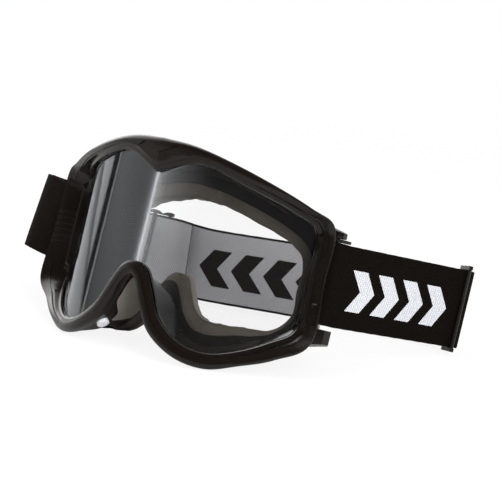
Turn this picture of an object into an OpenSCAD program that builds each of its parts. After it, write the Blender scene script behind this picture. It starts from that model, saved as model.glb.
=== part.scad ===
// Motocross goggles: a moulded frame with a bent clear lens, layered face foam,
// two swivelling strap clips and an elastic strap with two sliders.
// Each piece is drawn in the goggles' own frame: X across the face (+X is the
// wearer's left), -Y out of the lens, +Z up, with the lens front at the origin.
// rest_pose() then leans the whole thing back onto its cheeks and its strap.

/* [Lens] */
// Radius that the lens sheet is bent to
lens_r = 87.5; // [80:0.5:96]
// Thickness of the lens sheet
lens_t = 1; // [0.6:0.1:1.6]
// Air left round the lens in its groove
lens_gap = 0.3; // [0.2:0.05:0.5]

/* [Frame] */
// Width of the rim, measured along its curve
frame_arc = 184.6; // [176:0.2:194]
// Height of the rim from cheeks to brow
frame_h = 102.8; // [96:0.2:110]
// How far the rim's crown stands in front of the lens
rim_proud = 3.9; // [3:0.1:5]
// Thickness of the frame's walls
wall_t = 1.8; // [1.4:0.1:2.4]
// Depth from the lens to the rear ring at the nose
frame_depth = 34; // [30:0.5:40]
// Share of the foam's width that the rear ring carries; the rest overhangs
flange_s = 0.62; // [0.5:0.01:0.9]
// Radius of the face that the rear ring follows
face_r = 95; // [85:1:120]

/* [Vents] */
// Length of one vent slot
vent_l = 15; // [8:0.5:16]
// Front to back size of a vent slot
vent_w = 8; // [4:0.5:10]
// Thickness of the filter foam behind the vents
filter_t = 2.5; // [1.5:0.1:3.5]

/* [Face foam] */
// Thickness of the open-cell base layer
foam_t = 8.5; // [6:0.5:11]
// Thickness of the fleece layer against the face
fleece_t = 5; // [3:0.5:7]
// Glue line between the layers
glue_t = 0.3; // [0.2:0.05:0.4]

/* [Strap] */
// Width of the webbing
strap_w = 40; // [36:0.5:42]
// Thickness of the webbing
strap_t = 1.3; // [1:0.1:1.6]
// Air between two layers of webbing
layer_gap = 0.6; // [0.5:0.05:0.8]
// Length of the straight run behind the left clip
run_l = 90; // [75:1:100]
// Angle by which that run leads away from the head
run_flare = 8.2; // [6:0.1:10]
// Angle by which the springy webbing has swung the right clip outward, degrees
right_swing = 80; // [74:1:84]
// Rise of the run's middle line over its length
run_rise = 4; // [2:0.5:5]

/* [Clips] */
// Diameter of a hinge pin
pin_d = 2.4; // [1.8:0.1:2.8]
// Length of a hinge pin
pin_l = 6.6; // [5.5:0.1:7]
// Radial air between a pin and the clip's bar
pin_gap = 0.06; // [0.03:0.01:0.1]
// How far a pin reaches into the clip's bar
pin_grip = 2.9; // [2:0.1:4]
// Diameter of the bar that carries the strap and turns on the pins
strap_bar_d = 4.4; // [4:0.1:4.6]
// Thickness of the webs above and below the strap
web_t = 1.4; // [1.2:0.1:2.2]
// Air between a clip and the frame's arms
arm_gap = 0.3; // [0.2:0.05:0.5]
// Height of the arms' ends
arm_h = 5.6; // [5:0.1:7]

/* [Sliders] */
// Distance between a slider's bars
bar_pitch = 8.5; // [8:0.1:10]
// Diameter of a slider's bars
bar_d = 2; // [1.6:0.1:2.4]
// Air between webbing and the plastic that it passes
strap_gap = 0.3; // [0.25:0.05:0.5]
// How far a slider's ends stand beyond the webbing
rail_h = 2; // [1.4:0.1:2.6]

/* [Studs] */
// Diameter of a nose stud's head
stud_d = 6; // [4:0.5:7]

/* [Hidden] */
$fn = 48;

// Outlines of the left half of the rim and the rear ring, from the brow's
// middle down to the nose: [along the curve, up], one row for each outline
base_arc = 184.6;
base_h = 102.8;
lip_pts = [[0, 31.8], [23, 39.6], [50, 33.8], [76, 27], [88.4, 20.4], [89.4, -2],
    [89, -25.4], [76.5, -35.2], [60, -43.6], [46, -47], [32, -44.3], [20, -35.5],
    [13.3, -24], [7.2, -14.8], [0, -12]];
edge_pts = [[0, 48.6], [22, 47.2], [53, 40.2], [80, 31.4], [91.6, 24], [92.3, -2],
    [92, -31], [80, -42.3], [65, -49], [49.5, -54.2], [33, -52.6], [18, -44.5],
    [9.3, -32.6], [4.8, -23], [0, -19]];
ring_out_pts = [[0, 42], [20, 39.8], [46.5, 32.4], [64, 23], [69.8, 11], [70.5, -4],
    [69, -19], [58.5, -34.5], [45, -43], [32, -47.5], [22, -45.5], [14, -37],
    [8.8, -29.5], [4.4, -25.2], [0, -24]];
ring_in_pts = [[0, 26], [17, 24], [41, 17.8], [55, 10.8], [58.4, 3], [59, -8],
    [60.5, -20.5], [54, -29.6], [38.5, -31.8], [28.5, -33], [19, -32.3], [12, -27.8],
    [6.8, -20.5], [3.4, -15], [0, -13]];
// How much deeper the rim stands over the lens there: nothing in front, most of it
// at the temples and the cheekbones
rise_pts = [[0, 0], [0, 0], [0, 1], [0, 5.5], [0, 10], [0, 10.5], [0, 12], [0, 5], [0, 2],
    [0, 0], [0, 0], [0, 0], [0, 0], [0, 0], [0, 0]];
steps = 4;

// Smooth curve through points, at share t between b and c
function spline(a, b, c, d, t) =
    0.5 * (2 * b + (c - a) * t + (2 * a - 5 * b + 4 * c - d) * t * t
    + (3 * b - a - 3 * c + d) * t * t * t);
function flip(p) = [-p[0], p[1]];
// The outline has a soft point at the brow and is round over the nose
function half(pts) = [for (i = [0 : len(pts) - 2]) for (k = [0 : steps - 1])
    spline(i == 0 ? 2 * pts[0] - pts[1] : pts[i - 1], pts[i], pts[i + 1],
        i + 2 < len(pts) ? pts[i + 2] : flip(pts[i]), k / steps)];
function closed(pts) = let (h = half(pts)) concat(h, [pts[len(pts) - 1]],
    [for (i = [len(h) - 1 : -1 : 1]) flip(h[i])]);
function sized(pts) = [for (p = closed(pts))
    [p[0] * frame_arc / base_arc, p[1] * frame_h / base_h]];
lip = sized(lip_pts);
edge = sized(edge_pts);
ring_out = sized(ring_out_pts);
ring_in = sized(ring_in_pts);
stations = len(lip);
rise = [for (p = closed(rise_pts)) max(p[1], 0)];

// Radii of the rim's section, from the crown to the seat behind the lens
rim_r = lens_r + 3;
crown_r = lens_r + rim_proud;
groove_front_r = lens_r + lens_gap;
groove_back_r = lens_r - lens_t - lens_gap;
seat_r = groove_back_r - wall_t;
groove_s = 0.38;
lens_s = 0.3;
wall_s = 0.42;
cheek_slope = 0.2;

// A point of the rim: s runs from the lens lip to the outer edge, r is its radius
function mix(a, b, s) = a + (b - a) * s;
function on_curve(p, r) = let (a = p[0] / rim_r * 180 / PI)
    [r * sin(a), lens_r - r * cos(a), p[1]];
function rim(i, s, r) = on_curve(mix(lip[i], edge[i], s), r);
// The same on the rim's front, which stands up by its rise towards the edge
function front(i, s, r) = rim(i, s, r + rise[i] * min(1, 0.12 + 1.1 * s));
// A point of the rear ring: s runs from its outer to its inner outline
function face_y(x, z) = frame_depth + x * x / 2 / face_r + cheek_slope * min(z, 0);
function on_face(p, off) = [p[0], face_y(p[0], p[1]) + off, p[1]];
function ring(i, s, off) = on_face(mix(ring_out[i], ring_in[i], s), off);
function ring_share(i, size) = size / norm(ring_out[i] - ring_in[i]);
function rim_share(i, size) = size / norm(edge[i] - lip[i]);
// A point inside the wall: t runs from rim to ring, d is its distance inwards
function in_wall(i, t, d) = mix(rim(i, wall_s - rim_share(i, d), seat_r),
    ring(i, ring_share(i, wall_t + d), -wall_t), t);
// The middle of the wall between rim and ring, for the vents
function vent_y(x) = (lens_r - sqrt(seat_r * seat_r - x * x) + face_y(x, 0)) / 2;
stud_at = [19.4, 8.6, -44.4];
stud_lean = [0, 221, 0];

// Sweep of a closed section along the closed outline
module loop_sweep(sections) {
    n = len(sections);
    m = len(sections[0]);
    polyhedron(
        points = [for (s = sections) for (p = s) p],
        faces = [for (i = [0 : n - 1]) for (j = [0 : m - 1])
            let (a = i * m + j, b = i * m + (j + 1) % m,
                c = ((i + 1) % n) * m + (j + 1) % m, d = ((i + 1) % n) * m + j)
            each [[a, b, c], [a, c, d]]]);
}
// Sweep of a four-sided section with two closed ends
module strip_sweep(sections) {
    n = len(sections);
    polyhedron(
        points = [for (s = sections) for (p = s) p],
        faces = concat([[0, 3, 2, 1], [4 * n - 4, 4 * n - 3, 4 * n - 2, 4 * n - 1]],
            [for (i = [0 : n - 2]) for (j = [0 : 3])
                let (a = 4 * i + j, b = 4 * i + (j + 1) % 4)
                each [[a, b, b + 4], [a, b + 4, a + 4]]]));
}

// Strap and clip places, seen from above
strap_z = -1.2;
layer = strap_t + layer_gap;
clip_half_h = strap_w / 2 + strap_gap + web_t;
arm_low = strap_z - clip_half_h - arm_gap;
arm_high = strap_z + clip_half_h + arm_gap;
// The rim's edge at the temple, which the hinge keeps beside as the sheet is bent
function temple(r, arc) = let (a = arc / 2 / (r + 3) * 180 / PI)
    [(r + 3) * sin(a), r - (r + 3) * cos(a)];
temple_move = temple(lens_r, frame_arc) - temple(87.5, 184.6);
bar_at = [81.3, 43.5] + temple_move;
bar_r = strap_bar_d / 2;
loop_r = bar_r + strap_gap + strap_t / 2;
run_dir = [sin(run_flare), cos(run_flare)];
run_out = [cos(run_flare), -sin(run_flare)];
run_start = bar_at + run_out * loop_r;

// Each slider's middle and the way that the strap runs through it
pass_in = bar_d / 2 + strap_gap + strap_t / 2;
pass_out = pass_in + layer;
slider_half_h = strap_w / 2 + strap_gap + rail_h;
left_turn = 43;
left_at = run_start + run_dir * run_l + [-3.8, 12.2];
left_z = strap_z + run_rise;
right_turn = -62;
right_at = [-79, 101.5];
right_z = -4.8;
function left_pt(s, n) = left_at
    + s * [-sin(left_turn), cos(left_turn)] + n * [cos(left_turn), sin(left_turn)];
function right_pt(s, n) = right_at
    + s * [-sin(right_turn), cos(right_turn)] - n * [cos(right_turn), sin(right_turn)];

// Rest pose: the foam's lowest edge and the left slider share a floor with the strap
foam_low_z = -47.5 * frame_h / base_h;
foam_low_y = face_y(32, foam_low_z) + foam_t + glue_t + 0.4 * fleece_t;
slider_low_z = left_z - slider_half_h - 0.15;
slider_low_y = left_pt(bar_pitch, bar_d / 2)[1];
rest_tilt = atan((slider_low_z - foam_low_z) / (slider_low_y - foam_low_y));
floor_z = foam_low_y * sin(rest_tilt) - foam_low_z * cos(rest_tilt);
centre_x = 7.4;
centre_y = -71.4;
module rest_pose() {
    translate([centre_x, centre_y, floor_z]) rotate([-rest_tilt, 0, 0]) children();
}

// Webbing stands on edge along a route of [x, y, z, lean] points; lean 1 is upright
// on the floor, lean 0 is upright in the goggles' own frame
function route(pts, n) = concat([for (i = [0 : len(pts) - 2]) for (k = [0 : n - 1])
    spline(i == 0 ? 2 * pts[0] - pts[1] : pts[i - 1], pts[i], pts[i + 1],
        i + 2 < len(pts) ? pts[i + 2] : 2 * pts[i + 1] - pts[i], k / n)],
    [pts[len(pts) - 1]]);
function side_of(r, i) = let (d = r[min(i + 1, len(r) - 1)] - r[max(i - 1, 0)])
    [d[1], -d[0], 0] / norm([d[0], d[1]]) * strap_t / 2;
function upright(lean) = [0, -sin(lean * rest_tilt), cos(lean * rest_tilt)] * strap_w / 2;
function place(r) = [r[0], r[1], r[2]];
module webbing(r) {
    strip_sweep([for (i = [0 : len(r) - 1])
        let (p = place(r[i]), s = side_of(r, i), up = upright(r[i][3]))
        [p + s - up, p + s + up, p - s + up, p - s - up]]);
}
function left_run(t, off) = let (p = run_start + run_dir * t - run_out * off)
    [p[0], p[1], strap_z + run_rise * max(t - 8, 0) / (run_l + 2), 0];
function at(p, z, lean) = [p[0], p[1], z, lean];
// The right run bows out from the clip before it turns back to its slider
function beside(x, y, z, lean, k) = [x - k * temple_move[0], y + k * temple_move[1], z, lean];
function bow(off) = [
    [-bar_at[0] - 0.3, bar_at[1] - loop_r + off * 2 * loop_r / layer, strap_z, 0],
    beside(-86.8, 41 + 3 * off, strap_z, 0, 1), beside(-96, 41.2 + 1.6 * off, -0.2, -0.25, 1),
    beside(-106.4 + 0.2 * off, 42.6 + 1.1 * off, 1.5, -0.5, 0.9),
    beside(-113 + 0.8 * off, 46.6 + 0.8 * off, 2.2, -0.55, 0.8),
    beside(-115.6 + off, 55, 2, -0.55, 0.6), beside(-114 + off, 66, 1.2, -0.4, 0.4),
    beside(-109 + 0.9 * off, 77 - 0.5 * off, -0.8, -0.2, 0.2),
    [-100.8 + 0.7 * off, 87.4 - 0.8 * off, -3, 0],
    at(right_pt(-bar_pitch - 5.6, -pass_in - off), right_z, 0)];

// One arm's end with the eye that holds a hinge pin. The lower ones are deeper.
module frame_arm(low) {
    plan = low ? [[70, 40], [77, 38], [84, 38.6], [87, 42], [87.4, 47], [85.4, 49.6],
        [78, 50], [69, 51]]
        : [[70, 40], [76.8, 39.2], [83, 39.6], [84.8, 42], [84.4, 46], [81.6, 47.8],
        [76, 47.4], [69, 49]];
    rise_h = low ? arm_h + 1.8 : arm_h - 2.8;
    intersection() {
        linear_extrude(40) polygon(plan);
        translate([0, 60, 0]) rotate([90, 0, 0]) linear_extrude(60)
            polygon([[60, 0], [94, 0], [94, rise_h - 2], [85.5, rise_h - 0.2],
                [76, rise_h + 3.5], [66, rise_h + 7]]);
    }
}

module frame() {
    color("black") rest_pose() difference() {
        union() {
            loop_sweep([for (i = [0 : stations - 1])
                let (outer = rim(i, 0.84, seat_r), back = ring(i, 0, -wall_t),
                    inner = in_wall(i, 0, 0), inner_back = in_wall(i, 1, 0))
                [rim(i, 0, lens_r + 1.5), front(i, 0.16, crown_r - 0.8),
                front(i, 0.6, crown_r), front(i, 0.92, crown_r - 0.7),
                front(i, 1, crown_r - 2), outer, mix(outer, back, 0.5), back,
                ring(i, 0, 0), ring(i, flange_s, 0), ring(i, flange_s, -wall_t), inner_back,
                mix(inner, inner_back, 0.5), inner, rim(i, 0, seat_r),
                rim(i, 0, groove_back_r), rim(i, groove_s, groove_back_r),
                rim(i, groove_s, groove_front_r), rim(i, 0, groove_front_r)]]);
            for (side = [0, 1]) mirror([side, 0, 0]) translate(temple_move) {
                translate([0, 0, arm_high]) frame_arm(false);
                translate([0, 0, arm_low]) mirror([0, 0, 1]) frame_arm(true);
            }
        }
        for (side = [0, 1]) mirror([side, 0, 0]) {
            for (z = [arm_high - 1, arm_low - 2 * arm_h])
                translate([bar_at[0], bar_at[1], z]) cylinder(d = pin_d, h = 2 * arm_h + 1);
            for (x = [10, 29, 48])
                translate([x - vent_l / 2, vent_y(x) - vent_w / 2, 30])
                    cube([vent_l, vent_w, 30]);
            for (x = [31, 51])
                translate([x - vent_l / 2, vent_y(x) - 3 - vent_w / 2, -64])
                    cube([vent_l, vent_w, 24]);
            // a seat and a hole for the stud
            translate(stud_at) rotate(stud_lean) {
                translate([0, 0, -6]) cylinder(d = stud_d / 2 + 0.1, h = 7);
                cylinder(d = stud_d + 0.2, h = 4);
            }
        }
    }
}

module lens() {
    color("lightgray", 0.3) rest_pose() intersection() {
        translate([0, lens_r, -60]) difference() {
            cylinder(r = lens_r, h = 120, $fn = 160);
            translate([0, 0, -1]) cylinder(r = lens_r - lens_t, h = 122, $fn = 160);
        }
        rotate([90, 0, 0]) translate([0, 0, -58]) linear_extrude(60)
            polygon([for (i = [0 : stations - 1])
                let (p = rim(i, lens_s, lens_r - lens_t)) [p[0], p[2]]]);
    }
}

module upper_vent_filter() {
    reach = 9;
    color("dimgray") rest_pose() strip_sweep([for (k = [-reach : reach])
        let (i = (k + stations) % stations)
        [in_wall(i, 0.2, 0.45), in_wall(i, 0.84, 0.45),
        in_wall(i, 0.84, 0.45 + filter_t), in_wall(i, 0.2, 0.45 + filter_t)]]);
}

module lower_vent_filters() {
    color("dimgray") rest_pose() for (side = [0, 1]) mirror([side, 0, 0])
        strip_sweep([for (i = [29 : 41])
            [in_wall(i, 0.2, 0.3), in_wall(i, 0.8, 0.3),
            in_wall(i, 0.8, 0.3 + filter_t), in_wall(i, 0.2, 0.3 + filter_t)]]);
}

module face_foam() {
    color("darkslategray") rest_pose() loop_sweep([for (i = [0 : stations - 1])
        [ring(i, 0.03, glue_t), ring(i, -0.02, foam_t * 0.5), ring(i, 0.02, foam_t),
        ring(i, 0.98, foam_t), ring(i, 1.02, foam_t * 0.5), ring(i, 0.97, glue_t)]]);
}

module face_fleece() {
    low = foam_t + glue_t;
    color("tan") rest_pose() loop_sweep([for (i = [0 : stations - 1])
        [ring(i, 0.02, low), ring(i, 0, low + fleece_t * 0.4),
        ring(i, 0.12, low + fleece_t * 0.9), ring(i, 0.4, low + fleece_t),
        ring(i, 0.75, low + fleece_t), ring(i, 0.96, low + fleece_t * 0.85),
        ring(i, 1.04, low + fleece_t * 0.4), ring(i, 0.98, low)]]);
}

// The studs lean with the wall beside the nose
module nose_studs() {
    color("white") rest_pose() for (side = [0, 1]) mirror([side, 0, 0])
        translate(stud_at) rotate(stud_lean) {
            translate([0, 0, -4]) cylinder(d = stud_d / 2, h = 5);
            difference() {
                cylinder(d = stud_d, h = 2);
                translate([-stud_d, -0.4, 1.4]) cube([2 * stud_d, 0.8, 1]);
            }
        }
}

module hinge_pins() {
    color("silver") rest_pose() for (side = [0, 1]) mirror([side, 0, 0])
        for (z = [strap_z + clip_half_h - pin_grip, strap_z - clip_half_h + pin_grip - pin_l])
            translate([bar_at[0], bar_at[1], z]) cylinder(d = pin_d, h = pin_l);
}

// A clip in the left side's place: the bar that the strap goes round, a web over each
// edge of the strap and a tongue between its two layers
module clip(swing) {
    bore_l = pin_grip + 0.3;
    difference() {
        union() {
            translate([bar_at[0], bar_at[1], strap_z - clip_half_h])
                cylinder(r = bar_r, h = 2 * clip_half_h);
            translate([bar_at[0], bar_at[1], strap_z - clip_half_h]) rotate(-swing) {
                for (z = [0, 2 * clip_half_h - web_t]) translate([0, 0, z])
                    linear_extrude(web_t) polygon([[-3, -1.6], [-1.6, -3.2], [1.8, -3.6],
                        [4.2, -1.6], [4.4, 2.6], [3.6, 5.6], [1.6, 6.6], [-1.2, 6], [-3, 2.4]]);
                translate([-0.6, 0, 0]) cube([1.2, 5, 2 * clip_half_h]);
            }
        }
        for (z = [strap_z - clip_half_h - 1, strap_z + clip_half_h - bore_l])
            translate([bar_at[0], bar_at[1], z])
                cylinder(r = pin_d / 2 + pin_gap, h = bore_l + 1);
    }
}

module left_clip() {
    color("black") rest_pose() clip(run_flare);
}

module right_clip() {
    color("black") rest_pose() mirror([1, 0, 0]) clip(right_swing);
}

// The strap's turn round a clip's bar, opening towards the given direction
module strap_turn(dir) {
    translate([bar_at[0], bar_at[1], strap_z - strap_w / 2]) rotate(dir) difference() {
        cylinder(r = loop_r + strap_t / 2, h = strap_w);
        translate([0, 0, -1]) cylinder(r = loop_r - strap_t / 2, h = strap_w + 2);
        translate([-10, 0, -1]) cube([20, 10, strap_w + 2]);
    }
}

module left_strap_loop() {
    color("black") rest_pose() strap_turn(-run_flare);
}

module left_strap_run() {
    color("black") rest_pose() webbing([for (t = [0.3, 9, 20, 40, 60, run_l])
        left_run(t, 0)]);
}

module left_strap_return() {
    color("black") rest_pose() webbing(route([left_run(0.3, 2 * loop_r),
        left_run(8, 2 * loop_r - 1.2), left_run(22, layer + 0.3), left_run(40, layer),
        left_run(run_l, layer)], 4));
}

module left_strap_crossing() {
    color("black") rest_pose() webbing(route([left_run(run_l + 0.3, 0),
        at(left_pt(-bar_pitch + 1.5, -1.3), left_z, 0),
        at(left_pt(-bar_pitch / 2, 1.9), left_z, 0),
        at(left_pt(0, pass_out + 0.05), left_z, 0),
        at(left_pt(bar_pitch * 0.61, 0.7), left_z, 0),
        at(left_pt(bar_pitch - 0.1, -pass_in - 0.2), left_z, 0),
        at(left_pt(bar_pitch + 3, -pass_in - 0.2), left_z, 0)], 4));
}

module left_strap_tail() {
    color("black") rest_pose() webbing(route([left_run(run_l + 0.3, layer),
        at(left_pt(-bar_pitch + 2.9, -2.6), left_z, 0),
        at(left_pt(-2.7, 0.4), left_z, 0),
        at(left_pt(0, pass_in + 0.2), left_z, 0),
        at(left_pt(3, -0.6), left_z, 0),
        at(left_pt(bar_pitch, -pass_out - 0.05), left_z, 0),
        at(left_pt(bar_pitch + 6, -pass_out - 3), left_z, 0),
        at(left_pt(bar_pitch + 10, -pass_out - 9.3), left_z, 0)], 4));
}

// Three round bars between two end rails with a bump at each bar
module slider() {
    bump_r = 7;
    difference() {
        intersection() {
            for (k = [-1 : 1]) for (end = [-1, 1])
                translate([0, k * bar_pitch, end * (slider_half_h - bump_r)])
                    rotate([0, 90, 0]) cylinder(r = bump_r, h = bar_d, center = true);
            cube([bar_d, 2 * bar_pitch + 2 * bar_d, 2 * slider_half_h + 1],
                center = true);
        }
        cube([bar_d + 1, 2 * bar_pitch + 3 * bar_d, strap_w + 2 * strap_gap],
            center = true);
    }
    for (k = [-1 : 1]) translate([0, k * bar_pitch, 0])
        cylinder(d = bar_d, h = strap_w + 2 * strap_gap + 1, center = true);
}

module left_slider() {
    color("black") rest_pose() translate([left_at[0], left_at[1], left_z])
        rotate(left_turn) slider();
}

module right_slider() {
    color("black") rest_pose() translate([right_at[0], right_at[1], right_z])
        rotate(right_turn) slider();
}

module rear_strap() {
    color("black") rest_pose() webbing(route([
        at(left_pt(bar_pitch + 3.3, -pass_in - 0.25), left_z, 0),
        at(left_pt(bar_pitch + 8.5, -pass_in - 1.4), left_z, 0.1),
        [69, 151.5, 2, 0.3], [46, 140, 0, 0.85], [0, 126, -2.4, 1],
        [-42, 114, -5.2, 1],
        at(right_pt(bar_pitch + 9, -pass_in + 1.4), right_z, 0.3),
        at(right_pt(bar_pitch + 3.3, -pass_in + 0.1), right_z, 0)], 5));
}

module right_strap_tail() {
    color("black") rest_pose() webbing(route([
        at(right_pt(-bar_pitch - 5.3, -pass_out), right_z, 0),
        at(right_pt(-bar_pitch, -pass_out), right_z, 0),
        at(right_pt(-bar_pitch * 0.36, -0.8), right_z, 0),
        at(right_pt(0, pass_in), right_z, 0),
        at(right_pt(bar_pitch * 0.36, -0.8), right_z, 0),
        at(right_pt(bar_pitch, -pass_out), right_z, 0),
        at(right_pt(bar_pitch + 8, -pass_out - 0.8), right_z, 0.2),
        at(right_pt(bar_pitch + 16, -pass_out - 3.4), right_z - 0.4, 0.6)], 4));
}

module right_strap_crossing() {
    color("black") rest_pose() webbing(route([
        at(right_pt(-bar_pitch - 5.3, -pass_in), right_z, 0),
        at(right_pt(-bar_pitch, -pass_in), right_z, 0),
        at(right_pt(-bar_pitch * 0.62, 0.5), right_z, 0),
        at(right_pt(0, pass_out), right_z, 0),
        at(right_pt(bar_pitch * 0.62, 0.5), right_z, 0),
        at(right_pt(bar_pitch, -pass_in), right_z, 0),
        at(right_pt(bar_pitch + 3, -pass_in + 0.1), right_z, 0)], 4));
}

module right_strap_run() {
    color("black") rest_pose() webbing(route(bow(0), 5));
}

module right_strap_return() {
    color("black") rest_pose() webbing(route(bow(layer), 5));
}

module right_strap_loop() {
    color("black") rest_pose() mirror([1, 0, 0]) strap_turn(-90);
}

frame();
lens();
upper_vent_filter();
lower_vent_filters();
face_foam();
face_fleece();
nose_studs();
hinge_pins();
left_clip();
right_clip();
left_strap_loop();
left_strap_run();
left_strap_return();
left_strap_crossing();
left_strap_tail();
left_slider();
rear_strap();
right_slider();
right_strap_tail();
right_strap_crossing();
right_strap_return();
right_strap_run();
right_strap_loop();
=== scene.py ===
import math
import bpy
import bmesh
from mathutils import Vector, Matrix


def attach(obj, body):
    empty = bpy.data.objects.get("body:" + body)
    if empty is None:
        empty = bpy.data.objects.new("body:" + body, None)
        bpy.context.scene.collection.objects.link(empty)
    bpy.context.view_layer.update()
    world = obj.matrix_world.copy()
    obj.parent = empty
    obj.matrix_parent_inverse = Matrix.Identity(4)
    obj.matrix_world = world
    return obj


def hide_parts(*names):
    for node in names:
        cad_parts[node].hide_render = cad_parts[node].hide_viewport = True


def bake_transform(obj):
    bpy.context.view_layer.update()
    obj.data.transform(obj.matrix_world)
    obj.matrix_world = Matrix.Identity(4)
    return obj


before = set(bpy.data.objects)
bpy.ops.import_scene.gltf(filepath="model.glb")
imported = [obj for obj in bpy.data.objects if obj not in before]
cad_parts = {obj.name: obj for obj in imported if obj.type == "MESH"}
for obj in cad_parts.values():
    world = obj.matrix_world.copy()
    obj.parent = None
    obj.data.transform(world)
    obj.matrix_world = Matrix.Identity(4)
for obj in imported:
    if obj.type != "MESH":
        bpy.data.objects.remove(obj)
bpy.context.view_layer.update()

# Frame: one flexible moulding in satin black. A broad rim holds the lens in a groove,
# a vented wall leads back to the ring that carries the foam, and two pairs of arms
# stand off the sides for the clips' hinge pins. It is swept along its own outline.
rest_tilt = math.radians(14.141128)
lens_r, rim_r, seat_r = 87.5, 90.5, 84.4
wall_t = 1.8
lip_pts = [(0, 31.8), (23, 39.6), (50, 33.8), (76, 27), (88.4, 20.4), (89.4, -2),
           (89, -25.4), (76.5, -35.2), (60, -43.6), (46, -47), (32, -44.3),
           (20, -35.5), (13.3, -24), (7.2, -14.8), (0, -12)]
edge_pts = [(0, 48.6), (22, 47.2), (53, 40.2), (80, 31.4), (91.6, 24), (92.3, -2),
            (92, -31), (80, -42.3), (65, -49), (49.5, -54.2), (33, -52.6),
            (18, -44.5), (9.3, -32.6), (4.8, -23), (0, -19)]
ring_out_pts = [(0, 42), (20, 39.8), (46.5, 32.4), (64, 23), (69.8, 11), (70.5, -4),
                (69, -19), (58.5, -34.5), (45, -43), (32, -47.5), (22, -45.5),
                (14, -37), (8.8, -29.5), (4.4, -25.2), (0, -24)]
ring_in_pts = [(0, 26), (17, 24), (41, 17.8), (55, 10.8), (58.4, 3), (59, -8),
               (60.5, -20.5), (54, -29.6), (38.5, -31.8), (28.5, -33), (19, -32.3),
               (12, -27.8), (6.8, -20.5), (3.4, -15), (0, -13)]
rise_steps = (0, 0, 1, 5.5, 10, 10.5, 12, 5, 2, 0, 0, 0, 0, 0, 0)


def at_rest(p):
    """From the goggles' own frame in mm to where they lie on the floor, in metres."""
    c, s = math.cos(rest_tilt), math.sin(rest_tilt)
    return Vector((p[0] + 7.4, p[1] * c + p[2] * s - 71.4,
                   -p[1] * s + p[2] * c + 56.0015)) / 1000


def mix(a, b, t):
    return tuple(x + (y - x) * t for x, y in zip(a, b))


def smooth(pts, n):
    """A smooth curve through points whose first and last only steer it."""
    out = []
    for a, b, c, d in zip(pts, pts[1:], pts[2:], pts[3:]):
        for k in range(n):
            t = k / n
            out.append(tuple(0.5 * (2 * q + (r - p) * t + (2 * p - 5 * q + 4 * r - s) * t * t
                                    + (3 * q - p - 3 * r + s) * t ** 3)
                             for p, q, r, s in zip(a, b, c, d)))
    return out + [tuple(float(x) for x in pts[-2])]


def outline(pts, n=12):
    """The whole outline from its left half: a soft point at the brow, round at the nose."""
    steer = [mix(pts[1], pts[0], 2)] + pts + [(-pts[-2][0], pts[-2][1])]
    half = smooth(steer, n)
    return half + [(-x, z) for x, z in half[-2:0:-1]]


lip, edge = outline(lip_pts), outline(edge_pts)
ring_out, ring_in = outline(ring_out_pts), outline(ring_in_pts)
stations = len(lip)
rise = [max(p[1], 0) for p in outline([(0, h) for h in rise_steps])]


def rim(i, s, r):
    """A point of the rim: s runs from lip to outer edge, r is its radius."""
    x, z = mix(lip[i], edge[i], s)
    a = x / rim_r
    return (r * math.sin(a), lens_r - r * math.cos(a), z)


def front(i, s, r):
    """The same on the rim's front, which stands up by its rise towards the edge."""
    return rim(i, s, r + rise[i] * min(1, 0.12 + 1.1 * s))


def guard(i):
    """The raised guard over the lens's ends at the temples."""
    x, z = lip[i]
    return 2.2 if abs(x) > 80 and -22 < z < 20 else 0


def ring(i, s, off):
    """A point of the rear ring, off the face of its flange."""
    x, z = mix(ring_out[i], ring_in[i], s)
    return (x, 34 + x * x / 190 + 0.2 * min(z, 0) + off, z)


def in_wall(i, t, d):
    """A point inside the wall, d from its inner face, t of the way from rim to ring."""
    return mix(rim(i, 0.42 - d / math.dist(edge[i], lip[i]), seat_r),
               ring(i, (wall_t + d) / math.dist(ring_out[i], ring_in[i]), -wall_t), t)


def place_mesh(name, verts, faces, sharp=40):
    """A new piece from points in the goggles' own frame, smooth but for its real edges."""
    mesh = bpy.data.meshes.new(name)
    mesh.from_pydata([at_rest(v) for v in verts], [], faces)
    bm = bmesh.new()
    bm.from_mesh(mesh)
    bmesh.ops.recalc_face_normals(bm, faces=bm.faces)
    bm.to_mesh(mesh)
    bm.free()
    mesh.shade_smooth()
    mesh.set_sharp_from_angle(angle=math.radians(sharp))
    piece = bpy.data.objects.new(name, mesh)
    bpy.context.scene.collection.objects.link(piece)
    return piece


def loop_faces(n, m, start=0):
    """Faces of a ring of n sections with m points each."""
    return [(start + i * m + j, start + i * m + (j + 1) % m,
             start + (i + 1) % n * m + (j + 1) % m, start + (i + 1) % n * m + j)
            for i in range(n) for j in range(m)]


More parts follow.
